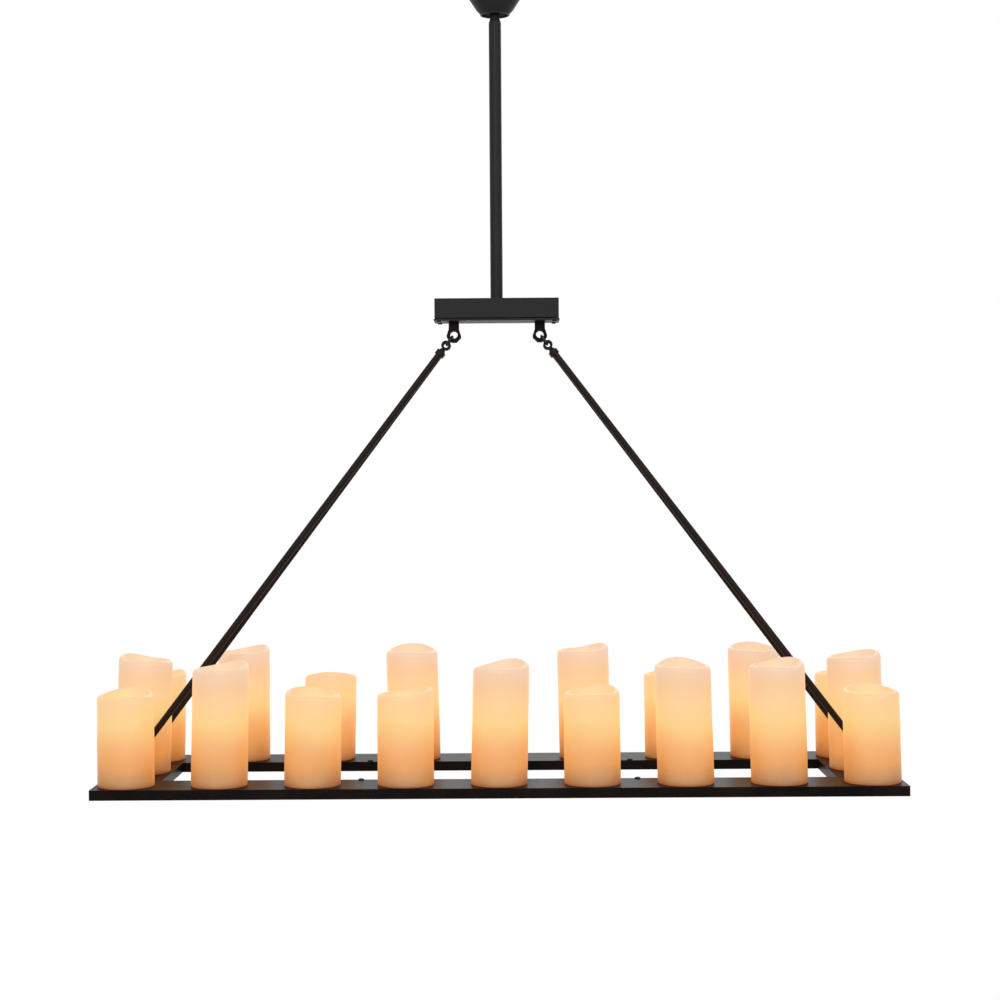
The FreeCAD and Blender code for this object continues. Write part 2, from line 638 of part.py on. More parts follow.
def bottom_plate():
    """One flat ring that closes all four channels from below."""
    gap = BAR_SHEET + FREE_GAP
    x_in = HALF_LENGTH - BAR_WIDTH + gap
    y_in = HALF_DEPTH - BAR_WIDTH + gap
    middle = vec(0, 0, BAR_BOTTOM_Z + BOTTOM_PLATE / 2)
    ring = block(2 * (HALF_LENGTH - gap), 2 * (HALF_DEPTH - gap), BOTTOM_PLATE, middle)
    ring = ring.cut(block(2 * x_in, 2 * y_in, 2 * BOTTOM_PLATE, middle))
    for x, y in plate_screw_places():
        ring = ring.cut(through(PLATE_SCREW_RADIUS + LAID_GAP, vec(x, y, BAR_BOTTOM_Z)))
    return ring


def plate_screw_places():
    places = []
    for x, y in front_boss_places():
        places += [(x, y), (x, -y)]
    for x, y in end_boss_places():
        places += [(x, y), (-x, y)]
    return places


def plate_screws():
    screws = []
    for x, y in plate_screw_places():
        base = vec(x, y, BAR_BOTTOM_Z)
        head = cylinder(PLATE_HEAD_RADIUS, PLATE_HEAD_HEIGHT, base - vec(0, 0, PLATE_HEAD_HEIGHT))
        screws.append(cylinder(PLATE_SCREW_RADIUS, PLATE_SCREW_LENGTH, base).fuse(head))
    return Part.makeCompound(screws)


def foot_screw_places():
    """Two screws beside each foot bracket."""
    step = FOOT_BASE_LENGTH / 2 - FOOT_SCREW_INSET
    return [(sx * FOOT_X + end * step, sy * FOOT_Y)
            for sx in (-1, 1) for sy in (-1, 1) for end in (-1, 1)]


def bar_screw_places():
    """Single round-head screws near the inner edge of the long bars."""
    inner = HALF_DEPTH - BAR_WIDTH + DECK_SCREW_INSET
    return [(sx * 1.5 * PITCH, sy * inner) for sx in (-1, 1) for sy in (-1, 1)]


def deck_screw_places():
    return bar_screw_places() + foot_screw_places()


def deck_screw(x, y, seat):
    """One screw whose head rests at a height, with its shank down through the bar."""
    low = BAR_TOP_Z - SCREW_DEPTH
    shank = cylinder(SCREW_RADIUS - LAID_GAP / 2, seat - low, vec(x, y, low))
    return shank.fuse(cylinder(SCREW_HEAD_RADIUS, SCREW_HEAD_HEIGHT, vec(x, y, seat)))


def deck_screws():
    screws = [deck_screw(x, y, BAR_TOP_Z) for x, y in bar_screw_places()]
    screws += [deck_screw(x, y, BAR_TOP_Z + CHEEK) for x, y in foot_screw_places()]
    return Part.makeCompound(screws)


def foot_bracket(sign):
    """Fork for one rod's foot: a base plate with two rounded cheeks."""
    foot = vec(FOOT_X, sign * FOOT_Y, FOOT_Z)
    depth = 2 * (CHEEK_INNER + CHEEK + FOOT_BASE_MARGIN)
    bracket = block(FOOT_BASE_LENGTH, depth, CHEEK, vec(foot.x, foot.y, BAR_TOP_Z + CHEEK / 2))
    for side in (-1, 1):
        top = cylinder(CHEEK_RADIUS, CHEEK, foot + ACROSS * (side * CHEEK_INNER), vec(0, side, 0))
        leg = block(2 * CHEEK_RADIUS, CHEEK, FOOT_HEIGHT,
                    vec(foot.x, foot.y + side * (CHEEK_INNER + CHEEK / 2), BAR_TOP_Z + FOOT_HEIGHT / 2))
        bracket = bracket.fuse(top).fuse(leg)
    bracket = bracket.cut(through(FOOT_BOLT_RADIUS + LAID_GAP / 2, foot, ACROSS))
    for x, y in foot_screw_places():
        bracket = bracket.cut(through(SCREW_RADIUS, vec(x, y, BAR_TOP_Z)))
    return bracket.removeSplitter()


def foot_brackets():
    return Part.makeCompound([foot_bracket(-1), foot_bracket(1)])


def foot_bolts():
    """Four bolts that the rods' feet turn on, each with a hexagon head and a nut."""
    bolts = []
    reach = CHEEK_INNER + CHEEK
    for side in (-1, 1):
        for sign in (-1, 1):
            foot = vec(side * FOOT_X, sign * FOOT_Y, FOOT_Z)
            length = 2 * reach + 2 * FOOT_NUT_HEIGHT
            bolt = cylinder(FOOT_BOLT_RADIUS, length, foot - ACROSS * (length / 2), ACROSS)
            head = hexagon(FOOT_NUT_FLATS, FOOT_NUT_HEIGHT, foot + ACROSS * reach, ACROSS)
            nut = hexagon(FOOT_NUT_FLATS, FOOT_NUT_HEIGHT * 0.8, foot - ACROSS * reach, -ACROSS)
            bolts.append(bolt.fuse(head).fuse(nut))
    return Part.makeCompound(bolts)


# ---------------------------------------------------------------- candles

def candle_places(height):
    """One point over each candle's place on the bars, at a height above them."""
    return [vec(along * PITCH, across * PITCH, BAR_TOP_Z + height)
            for name, along, across, sleeve_height, turn, lean in CANDLES]


def candle_seats():
    """Flat round seats that centre the sleeves and carry the lamp holders."""
    return Part.makeCompound([cylinder(SEAT_RADIUS, SEAT_HEIGHT, place) for place in candle_places(0)])


def lamp_holders():
    """Tall candle lamp holders, one on each seat."""
    places = candle_places(SEAT_HEIGHT)
    return Part.makeCompound([cylinder(HOLDER_RADIUS, HOLDER_HEIGHT, place) for place in places])


def bulbs():
    """Small pointed candle bulbs."""
    outline = [
        (0, 0), (BULB_BASE_RADIUS, 0), (BULB_RADIUS, BULB_BELLY), (BULB_TIP_RADIUS, BULB_HEIGHT),
        (0, BULB_HEIGHT),
    ]
    return Part.makeCompound([turned(outline, place) for place in candle_places(SEAT_HEIGHT + HOLDER_HEIGHT)])


def sleeve_radius(height):
    """Outside radius of the sleeve at a height above its base."""
    return SLEEVE_BASE_RADIUS - height * math.tan(math.radians(SLEEVE_DRAFT_DEGREES))


def lobe_profile(level):
    """The rim's one soft lobe across the sleeve: rising arc, crest and falling arc."""
    crest = level + RIM_LOBE_HEIGHT
    half = level + RIM_LOBE_HEIGHT / 2
    spread = RIM_LOBE_SPREAD
    low = level + 0.16 * RIM_LOBE_HEIGHT
    rise = Part.Arc(vec(0, -spread, level), vec(0, -0.72 * spread, low), vec(0, -spread / 2, half))
    top = Part.Arc(vec(0, -spread / 2, half), vec(0, 0, crest), vec(0, spread / 2, half))
    fall = Part.Arc(vec(0, spread / 2, half), vec(0, 0.72 * spread, low), vec(0, spread, level))
    return [rise.toShape(), top.toShape(), fall.toShape()]


def rim_trimmer(height):
    """Solid above the rim: nearly level all round, with one soft lobe on the +X side."""
    level = height - RIM_LOBE_HEIGHT - RIM_FALL
    reach = 1.4 * SLEEVE_BASE_RADIUS
    top = level + SLEEVE_BASE_RADIUS
    corners = [
        vec(0, RIM_LOBE_SPREAD, level), vec(0, reach, level), vec(0, reach, top),
        vec(0, -reach, top), vec(0, -reach, level), vec(0, -RIM_LOBE_SPREAD, level),
    ]
    sides = [Part.makeLine(a, b) for a, b in zip(corners, corners[1:])]
    lobed = Part.Face(Part.Wire(lobe_profile(level) + sides)).extrude(vec(reach, 0, 0))
    plain = Part.makeBox(reach, 2 * reach, top - level, vec(-reach, -reach, level))
    tool = lobed.fuse(plain)
    fall = math.degrees(math.atan2(RIM_FALL, SLEEVE_BASE_RADIUS))
    tool.rotate(vec(0, 0, level), ACROSS, -fall)
    return tool


def sleeve_mould(height):
    """A candle sleeve: drafted wall, straight bore, dished closed top below a wavy rim."""
    low = -LEAN_RESERVE
    high = height + LEAN_RESERVE
    outside = Part.makeCone(sleeve_radius(low), sleeve_radius(high), high - low, vec(0, 0, low))
    floor = height - DISH_DEPTH
    bore = cylinder(BORE_RADIUS, floor - DISH_FLOOR - low, vec(0, 0, low))
    dish = Part.makeCone(sleeve_radius(floor) - SLEEVE_WALL - DISH_SLOPE, sleeve_radius(high) - SLEEVE_WALL,
                         high - floor, vec(0, 0, floor))
    return outside.cut(bore).cut(dish).cut(rim_trimmer(height))


def sleeve(mould, place, turn, lean):
    """One sleeve turned to its own angle, leaning a little, and cut level at the base."""
    body = mould.copy()
    body.rotate(vec(0, 0, 0), UP, turn)
    body.rotate(vec(0, 0, 0), ACROSS, lean)
    width = 4 * SLEEVE_BASE_RADIUS
    depth = 4 * LEAN_RESERVE
    body = body.cut(block(width, width, depth, vec(0, 0, -depth / 2)))
    body.translate(place)
    return body


# ---------------------------------------------------------------- the whole part

def pieces():
    nodes = {
        "ceiling_crossbar": crossbar(),
        "canopy": canopy(),
        "canopy_screws": canopy_screws(),
        "swivel_nipple": swivel_nipple(),
        "nipple_locknut": nipple_locknut(),
        "yoke_nut": yoke_nut(),
        "swivel_yoke": swivel_yoke(),
        "swivel_cross": swivel_cross(),
        "stem_clevis": stem_clevis(),
        "stem_set_screw": stem_set_screw(),
        "stem_tube": stem_tube(),
        "stem_nut": stem_nut(),
        "hub_box": hub_box(),
        "hub_cover": hub_cover(),
        "hub_cover_screws": hub_cover_screws(),
        "lug_right": lug(),
        "lug_left": mirrored(lug()),
        "lug_screws": lug_screws(),
        "link_rings_right": link_rings(),
        "link_rings_left": mirrored(link_rings()),
        "rod_right_front": rod(-1),
        "rod_right_back": rod(1),
        "rod_left_front": mirrored(rod(-1)),
        "rod_left_back": mirrored(rod(1)),
        "bar_front": bar_front(),
        "bar_back": bar_front().mirror(vec(0, 0, 0), ACROSS),
        "bar_right": bar_right(),
        "bar_left": mirrored(bar_right()),
        "bottom_plate": bottom_plate(),
        "plate_screws": plate_screws(),
        "deck_screws": deck_screws(),
        "foot_brackets_right": foot_brackets(),
        "foot_brackets_left": mirrored(foot_brackets()),
        "foot_bolts": foot_bolts(),
        "candle_seats": candle_seats(),
        "lamp_holders": lamp_holders(),
        "bulbs": bulbs(),
    }
    moulds = {height: sleeve_mould(height) for height in (SHORT_SLEEVE, TALL_SLEEVE)}
    for candle, place in zip(CANDLES, candle_places(0)):
        name, along, across, height, turn, lean = candle
        nodes[name] = sleeve(moulds[height], place, turn, lean)
    return nodes


def main():
    os.makedirs("parts", exist_ok=True)
    for name, shape in pieces().items():
        shape.exportStep(os.path.join("parts", name + ".step"))
        solids = len(shape.Solids)
        print(name, "solids", solids, "valid", shape.isValid(), "volume", round(shape.Volume / 1000, 1))


main()
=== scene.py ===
"""Looks of the linear candle pendant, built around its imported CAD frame.

Every class below is one sub-assembly of the real product. Its fields are real sizes in
millimetres, and build() makes its Blender pieces in metres, riding on the CAD bodies.
"""

import json
import logging
import math
from collections.abc import Callable
from dataclasses import dataclass
from enum import Enum

import bmesh
import bpy
from mathutils import Matrix, Vector

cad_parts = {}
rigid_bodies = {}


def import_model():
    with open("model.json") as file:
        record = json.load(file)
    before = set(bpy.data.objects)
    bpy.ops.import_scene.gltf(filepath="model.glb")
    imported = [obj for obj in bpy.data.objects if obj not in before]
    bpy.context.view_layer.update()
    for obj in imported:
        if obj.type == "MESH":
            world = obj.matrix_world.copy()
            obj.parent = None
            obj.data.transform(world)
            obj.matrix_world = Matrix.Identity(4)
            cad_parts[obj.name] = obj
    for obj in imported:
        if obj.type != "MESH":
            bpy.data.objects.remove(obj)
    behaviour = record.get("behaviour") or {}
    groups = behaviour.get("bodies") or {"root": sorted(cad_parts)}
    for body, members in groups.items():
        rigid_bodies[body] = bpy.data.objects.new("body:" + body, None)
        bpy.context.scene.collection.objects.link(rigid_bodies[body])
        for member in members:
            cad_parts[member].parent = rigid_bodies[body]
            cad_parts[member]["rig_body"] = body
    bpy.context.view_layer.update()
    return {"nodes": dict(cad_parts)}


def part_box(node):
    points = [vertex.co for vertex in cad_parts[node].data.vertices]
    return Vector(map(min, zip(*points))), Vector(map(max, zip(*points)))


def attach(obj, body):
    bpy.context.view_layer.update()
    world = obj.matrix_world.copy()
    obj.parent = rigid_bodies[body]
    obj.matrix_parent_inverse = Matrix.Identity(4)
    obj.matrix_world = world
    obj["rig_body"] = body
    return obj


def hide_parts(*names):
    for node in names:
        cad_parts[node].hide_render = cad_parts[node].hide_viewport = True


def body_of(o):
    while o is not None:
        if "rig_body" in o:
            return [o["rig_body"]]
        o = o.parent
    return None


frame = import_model()

logging.basicConfig(level=logging.INFO, format="%(message)s")
LOG = logging.getLogger("pendant")

MM = 0.001
BAR_LOW, BAR_HIGH = (tuple(round(c / MM, 3) for c in corner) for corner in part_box("bar_front"))
BAR_TOP = BAR_HIGH[2]
BAR_UNDERSIDE = BAR_LOW[2]
BAR_WIDTH = BAR_HIGH[1] - BAR_LOW[1]
END_ROW = 4
CANDLE_PITCH = (BAR_HIGH[0] - BAR_LOW[0] - BAR_WIDTH) / (2 * END_ROW)
FRAME_BODY = "frame"
SHORT = 144.0
TALL = 183.0

# A copied CAD node's points nearer than this many metres are merged.
MERGE_DISTANCE = 2e-6
# Degrees between its faces: under the first they merge, over the second their corner is rounded,
# and over the third it stays sharp in the shading.
FLAT_ANGLE = 1.0
CORNER_ANGLE = 38.0
SHARP_ANGLE = 46.0

Color = tuple[float, float, float, float]
Point = tuple[float, float, float]
Pairs = list[tuple[float, float]]


class Slot(str, Enum):
    """Material slots of the record."""

    FRAME = "frame_metal"
    HUB = "hub_metal"
    STEEL = "bare_steel"
    DARK = "dark_fastener"
    WAX = "sleeve_wax"
    HOLDER = "holder_plastic"
    BULB = "bulb_glass"
    SEAT = "seat_metal"


class Kind(str, Enum):
    """Kinds of sockets that the node groups have."""

    COLOR = "NodeSocketColor"
    NUMBER = "NodeSocketFloat"
    VECTOR = "NodeSocketVector"
    GEOMETRY = "NodeSocketGeometry"
    OBJECT = "NodeSocketObject"
    MATERIAL = "NodeSocketMaterial"


def linear(red: float, green: float, blue: float) -> Color:
    """Turns a colour seen on a screen into the renderer's linear colour.

    Args:
        red: red from 0 to 255.
        green: green from 0 to 255.
        blue: blue from 0 to 255.

    Returns:
        Linear red, green and blue with an alpha of 1.
    """
    def one(value: float) -> float:
        """Turns one of the three values."""
        value /= 255.0
        return value / 12.92 if value <= 0.04045 else ((value + 0.055) / 1.055) ** 2.4

    return (one(red), one(green), one(blue), 1.0)


# ------------------------------------------------------------------ node helpers


def feed(tree: bpy.types.NodeTree, target: bpy.types.Node, inputs: dict) -> None:
    """Sets or links a node's inputs.

    Args:
        tree: the tree that the node is in.
        target: the node.
        inputs: for each input's name or number, a plain value or the socket that feeds it.
    """
    for key, value in inputs.items():
        if isinstance(value, bpy.types.NodeSocket):
            tree.links.new(value, target.inputs[key])
        else:
            target.inputs[key].default_value = value


def node(tree: bpy.types.NodeTree, kind: str, inputs: dict | None = None,
         **settings: object) -> bpy.types.Node:
    """Adds a node.

    Args:
        tree: the tree that gets the node.
        kind: the node's type name.
        inputs: its inputs, as feed() takes them.
        **settings: its plain properties.

    Returns:
        The new node.
    """
    made = tree.nodes.new(kind)
    for name, value in settings.items():
        setattr(made, name, value)
    feed(tree, made, inputs or {})
    return made


def result_of(tree: bpy.types.NodeTree, operation: str,
              *terms: float | bpy.types.NodeSocket) -> bpy.types.NodeSocket:
    """Adds a Math node.

    Args:
        tree: the tree that gets the node.
        operation: what it does with its terms.
        *terms: numbers or sockets.

    Returns:
        The socket that gives the result.
    """
    return node(tree, "ShaderNodeMath", dict(enumerate(terms)), operation=operation).outputs[0]


def new_group(name: str, kind: str, inputs: tuple, outputs: tuple) -> bpy.types.NodeTree:
    """Makes an empty node group with named sockets.

    Args:
        name: the group's name.
        kind: "ShaderNodeTree" or "GeometryNodeTree".
        inputs: name, kind and default value of each input, where None is no default.
        outputs: name and kind of each output.

    Returns:
        The group.
    """
    tree = bpy.data.node_groups.new(name, kind)
    for label, socket in outputs:
        tree.interface.new_socket(name=label, in_out="OUTPUT", socket_type=socket.value)
    for label, socket, value in inputs:
        item = tree.interface.new_socket(name=label, in_out="INPUT", socket_type=socket.value)
        if value is not None:
            item.default_value = value
    return tree


def new_material(name: str) -> tuple[bpy.types.Material, bpy.types.NodeTree, bpy.types.Node]:
    """Makes a material.

    Args:
        name: its name.

    Returns:
        The material, its node tree and its Principled shader.
    """
    material = bpy.data.materials.new(name)
    material.use_nodes = True
    LOG.info("material %s", name)
    return material, material.node_tree, material.node_tree.nodes["Principled BSDF"]


# ------------------------------------------------------------------ shader groups


@dataclass(frozen=True)
class PaintWear:
    """Shader group of every painted or bare surface: cloudy tint, speckle, roughness and bump."""

    cloud_detail: float = 5.0
    cloud_from: float = 0.35
    cloud_to: float = 0.75
    speckle_detail: float = 2.0
    speckle_roughness: float = 0.16
    bump_distance: float = 0.3

    def build(self) -> bpy.types.NodeTree:
        """Builds the group with its named sockets.

        Returns:
            The shader group.
        """
        tree = new_group("Paint Wear", "ShaderNodeTree", (
            ("Tint", Kind.COLOR, (0.03, 0.03, 0.03, 1)),
            ("Edge Tint", Kind.COLOR, (0.06, 0.05, 0.045, 1)),
            ("Cloud Scale", Kind.NUMBER, 14.0),
            ("Speckle Scale", Kind.NUMBER, 900.0),
            ("Roughness", Kind.NUMBER, 0.45),
            ("Contrast", Kind.NUMBER, 0.5),
            ("Bump", Kind.NUMBER, 0.15),
        ), (("Color", Kind.COLOR), ("Rough", Kind.NUMBER), ("Normal", Kind.VECTOR)))
        given = node(tree, "NodeGroupInput").outputs
        place = node(tree, "ShaderNodeTexCoord").outputs["Object"]
        cloud = node(tree, "ShaderNodeTexNoise", {
            "Vector": place, "Scale": given["Cloud Scale"], "Detail": self.cloud_detail,
        })
        speckle = node(tree, "ShaderNodeTexNoise", {
            "Vector": place, "Scale": given["Speckle Scale"], "Detail": self.speckle_detail,
        }).outputs["Fac"]
        spread = node(tree, "ShaderNodeMapRange", {
            "Value": cloud.outputs["Fac"], "From Min": self.cloud_from, "From Max": self.cloud_to,
            "To Max": given["Contrast"],
        })
        tint = node(tree, "ShaderNodeMix", {
            "Factor": spread.outputs["Result"], "A": given["Tint"], "B": given["Edge Tint"],
        }, data_type="RGBA")
        bump = node(tree, "ShaderNodeBump", {
            "Distance": self.bump_distance * MM, "Strength": given["Bump"], "Height": speckle,
        })
        node(tree, "NodeGroupOutput", {
            "Color": tint.outputs["Result"],
            "Rough": result_of(tree, "MULTIPLY_ADD", speckle, self.speckle_roughness, given["Roughness"]),
            "Normal": bump.outputs["Normal"],
        })
        return tree


@dataclass(frozen=True)
class WaxGlow:
    """Shader group of the lit sleeves: glow by height over the bars, clouding and drips."""

    span: float = 200.0
    cloud_detail: float = 3.0
    cloud_middle: float = 0.5
    streak_share: float = 0.5
    streak_tint: Color = linear(190, 156, 112)
    drip_scale: float = 60.0
    drip_detail: float = 4.0
    bump_distance: float = 1.0
    # Light that comes through a lit sleeve, by height over the bars in millimetres.
    light_by_height: tuple = (
        (0, (0.20, 0.035, 0.004)),
        (12, (0.35, 0.105, 0.010)),
        (30, (0.55, 0.175, 0.020)),
        (45, (0.63, 0.215, 0.036)),
        (60, (0.67, 0.275, 0.078)),
        (76, (0.70, 0.365, 0.105)),
        (95, (0.72, 0.450, 0.160)),
        (120, (0.72, 0.450, 0.205)),
        (146, (0.69, 0.400, 0.230)),
        (170, (0.63, 0.430, 0.320)),
    )

    def ramp(self, tree: bpy.types.NodeTree, share: bpy.types.NodeSocket) -> bpy.types.NodeSocket:
        """Adds the ramp of light that comes through a lit sleeve.

        Args:
            tree: the tree that gets the ramp.
            share: the height over the bars as a share of the span.

        Returns:
            The ramp's colour.
        """
        ramp = node(tree, "ShaderNodeValToRGB", {"Fac": share})
        elements = ramp.color_ramp.elements
        while len(elements) < len(self.light_by_height):
            elements.new(0.5)
        for element, (height, light) in zip(elements, self.light_by_height):
            element.position = height / self.span
            element.color = (*light, 1.0)
        return ramp.outputs["Color"]

    def build(self) -> bpy.types.NodeTree:
        """Builds the group with its named sockets.

        Returns:
            The shader group.
        """
        tree = new_group("Wax Glow", "ShaderNodeTree", (
            ("Base Height", Kind.NUMBER, BAR_TOP * MM),
            ("Span", Kind.NUMBER, self.span * MM),
            ("Wax", Kind.COLOR, (0.38, 0.30, 0.18, 1)),
            ("Cloud Scale", Kind.NUMBER, 16.0),
            ("Sway", Kind.NUMBER, 0.14),
            ("Bump", Kind.NUMBER, 0.25),
        ), (("Color", Kind.COLOR), ("Glow", Kind.COLOR), ("Normal", Kind.VECTOR)))
        given = node(tree, "NodeGroupInput").outputs
        place = node(tree, "ShaderNodeTexCoord").outputs["Object"]
        height = node(tree, "ShaderNodeSeparateXYZ", {0: place}).outputs["Z"]
        cloud = node(tree, "ShaderNodeTexNoise", {
            "Vector": place, "Scale": given["Cloud Scale"], "Detail": self.cloud_detail,
        }).outputs["Fac"]
        above = result_of(tree, "SUBTRACT", height, given["Base Height"])
        share = result_of(tree, "DIVIDE", above, given["Span"])
        middle = result_of(tree, "SUBTRACT", cloud, self.cloud_middle)
        swayed = result_of(tree, "MULTIPLY_ADD", middle, given["Sway"], share)
        tone = node(tree, "ShaderNodeMix", {
            "Factor": result_of(tree, "MULTIPLY", cloud, self.streak_share),
            "A": given["Wax"], "B": self.streak_tint,
        }, data_type="RGBA")
        drips = node(tree, "ShaderNodeTexNoise", {
            "Vector": place, "Scale": self.drip_scale, "Detail": self.drip_detail,
        })
        bump = node(tree, "ShaderNodeBump", {
            "Distance": self.bump_distance * MM, "Strength": given["Bump"],
            "Height": drips.outputs["Fac"],
        })
        node(tree, "NodeGroupOutput", {
            "Color": tone.outputs["Result"],
            "Glow": self.ramp(tree, swayed),
            "Normal": bump.outputs["Normal"],
        })
        return tree


# ------------------------------------------------------------------ finishes


@dataclass(frozen=True)
class WornFinish:
    """A painted, plated or moulded finish, on the shared Paint Wear group."""

    name: str
    tint: Color
    edge: Color
    roughness: float
    metallic: float = 0.0
    contrast: float = 0.5
    specular: float = 0.5
    bump: float = 0.15
    cloud: float = 14.0

    def build(self, group: bpy.types.NodeTree) -> bpy.types.Material:
        """Makes the material.

        Args:
            group: the Paint Wear group.

        Returns:
            The material.
        """
        material, tree, shader = new_material(self.name)
        wear = node(tree, "ShaderNodeGroup", {
            "Tint": self.tint, "Edge Tint": self.edge, "Roughness": self.roughness,
            "Contrast": self.contrast, "Bump": self.bump, "Cloud Scale": self.cloud,
        }, node_tree=group).outputs
        feed(tree, shader, {
            "Metallic": self.metallic, "Specular IOR Level": self.specular,
            "Base Color": wear["Color"], "Roughness": wear["Rough"], "Normal": wear["Normal"],
        })
        return material


@dataclass(frozen=True)
class WaxFinish:
    """The sleeves' wax with the lamp's light behind it, on the shared Wax Glow group."""

    name: str = "wax_sleeve"
    strength: float = 1.0
    roughness: float = 0.5
    bump: float = 0.22
    cloud: float = 16.0

    def build(self, group: bpy.types.NodeTree) -> bpy.types.Material:
        """Makes the material.

        Args:
            group: the Wax Glow group.

        Returns:
            The material.
        """
        material, tree, shader = new_material(self.name)
        glow = node(tree, "ShaderNodeGroup", {"Bump": self.bump, "Cloud Scale": self.cloud},
                    node_tree=group).outputs
        feed(tree, shader, {
            "Roughness": self.roughness, "Emission Strength": self.strength,
            "Base Color": glow["Color"], "Emission Color": glow["Glow"], "Normal": glow["Normal"],
        })
        return material


@dataclass(frozen=True)
class BulbFinish:
    """Frosted glass of the lit bulbs, with a faint mottle."""

    name: str = "lit_frosted_bulb"
    strength: float = 1.1
    roughness: float = 0.3
    mottle_scale: float = 90.0
    warm: Color = linear(255, 226, 160)
    pale: Color = linear(255, 240, 200)

    def build(self) -> bpy.types.Material:
        """Makes the material.

        Returns:
            The material.
        """
        material, tree, shader = new_material(self.name)
        place = node(tree, "ShaderNodeTexCoord").outputs["Object"]
        frost = node(tree, "ShaderNodeTexNoise", {"Vector": place, "Scale": self.mottle_scale})
        tone = node(tree, "ShaderNodeMix", {
            "Factor": frost.outputs["Fac"], "A": self.warm, "B": self.pale,
        }, data_type="RGBA").outputs["Result"]
        feed(tree, shader, {
            "Roughness": self.roughness, "Emission Strength": self.strength,
            "Base Color": tone, "Emission Color": tone,
        })
        return material


BROWN = linear(58, 44, 37)

WORN_FINISHES = {
    Slot.FRAME: WornFinish("satin_brown_black", linear(12, 8, 7), BROWN, 0.30,
                           contrast=0.35, specular=0.06),
    Slot.HUB: WornFinish("matt_charcoal", linear(40, 38, 39), linear(49, 46, 45), 0.38,
                         contrast=0.3, specular=0.14),
    Slot.STEEL: WornFinish("zinc_plate", linear(150, 148, 144), linear(120, 116, 110), 0.32, metallic=0.9),
    Slot.DARK: WornFinish("blackened_steel", linear(28, 27, 26), linear(46, 42, 40), 0.36, metallic=0.5),
    Slot.SEAT: WornFinish("seat_paint", linear(60, 57, 54), linear(74, 70, 66), 0.5, metallic=0.3),
    Slot.HOLDER: WornFinish("cream_holder", linear(236, 228, 208), linear(214, 200, 172), 0.42,
                            contrast=0.6, bump=0.1, cloud=40.0),
}

# The rods wear the frame's paint, made lighter and warmer here: painted warm light from the candles, which
# the rods catch near the sleeves.
RODS_PAINTED_CANDLELIGHT_FINISH = WornFinish("rods_painted_candlelight", linear(36, 26, 21), BROWN, 0.34, contrast=0.4, specular=0.1)


class Materials:
    """All materials of the pendant: one for each record slot, and the rods' own, which is the frame's
    paint with painted candlelight in its tint.
    """

    def __init__(self) -> None:
        """Builds both shader groups and every finish."""
        wear = PaintWear().build()
        self.by_slot = {slot: finish.build(wear) for slot, finish in WORN_FINISHES.items()}
        self.by_slot[Slot.WAX] = WaxFinish().build(WaxGlow().build())
        self.by_slot[Slot.BULB] = BulbFinish().build()
        self.rods = RODS_PAINTED_CANDLELIGHT_FINISH.build(wear)


# ------------------------------------------------------------------ mesh helpers


def shown(name: str, data: bpy.types.ID) -> bpy.types.Object:
    """Makes an object and puts it in the scene.

    Args:
        name: the object's name.
        data: its mesh, light or camera.

    Returns:
        The new object.
    """
    made = bpy.data.objects.new(name, data)
    bpy.context.scene.collection.objects.link(made)
    return made


def mesh_from(form: bmesh.types.BMesh, name: str) -> bpy.types.Mesh:
    """Turns an edit mesh into a plain one.

    Args:
        form: the edit mesh, which is freed.
        name: the new mesh's name.

    Returns:
        The new mesh.
    """
    mesh = bpy.data.meshes.new(name)
    form.to_mesh(mesh)
    form.free()
    return mesh


def new_piece(name: str, mesh: bpy.types.Mesh, body: str, slot: Slot,
              materials: Materials) -> bpy.types.Object:
    """Makes a mesh a piece of the pendant that rides on a CAD body.

    Args:
        name: the piece's name.
        mesh: its mesh, in place.
        body: the CAD body that it moves with.
        slot: its material slot.
        materials: the pendant's materials.

    Returns:
        The new object.
    """
    piece = shown(name, mesh)
    mesh.materials.clear()
    mesh.materials.append(materials.by_slot[slot])
    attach(piece, body)
    LOG.info("piece %s: %d faces on %s", name, len(mesh.polygons), body)
    return piece


def shade(mesh: bpy.types.Mesh, angle: float) -> None:
    """Smooths a mesh's shading, except over its sharp edges.

    Args:
        mesh: the mesh.
        angle: the angle in degrees from which an edge is sharp.
    """
    form = bmesh.new()
    form.from_mesh(mesh)
    for face in form.faces:
        face.smooth = True
    for edge in form.edges:
        edge.smooth = len(edge.link_faces) == 2 and edge.calc_face_angle(0.0) < math.radians(angle)
    form.to_mesh(mesh)
    form.free()


def evaluated(holder: bpy.types.Object) -> bpy.types.Mesh:
    """Runs an object's modifiers.

    Args:
        holder: the object, which is removed.

    Returns:
        The result as a plain mesh.
    """
    bpy.context.view_layer.update()
    graph = bpy.context.evaluated_depsgraph_get()
    made = bpy.data.meshes.new_from_object(holder.evaluated_get(graph))
    bpy.data.objects.remove(holder)
    return made


def modified(mesh: bpy.types.Mesh, kind: str, **settings: object) -> bpy.types.Mesh:
    """Runs one modifier on a mesh.

    Args:
        mesh: the mesh, which is removed.
        kind: the modifier's type.
        **settings: the modifier's properties.

    Returns:
        The new mesh.
    """
    holder = shown("modified", mesh)
    modifier = holder.modifiers.new(kind, kind)
    for name, value in settings.items():
        setattr(modifier, name, value)
    made = evaluated(holder)
    bpy.data.meshes.remove(mesh)
    return made


def bridge(form: bmesh.types.BMesh, rings: list[list[bmesh.types.BMVert]]) -> None:
    """Joins rings of vertices by faces, in order.

    Args:
        form: the edit mesh that holds them.
        rings: the rings, where a ring of one vertex is a pole.
    """
    for lower, upper in zip(rings, rings[1:]):
        count = max(len(lower), len(upper))
        for k in range(count):
            after = (k + 1) % count
            corners = (lower[k % len(lower)], lower[after % len(lower)],
                       upper[after % len(upper)], upper[k % len(upper)])
            form.faces.new(list(dict.fromkeys(corners)))


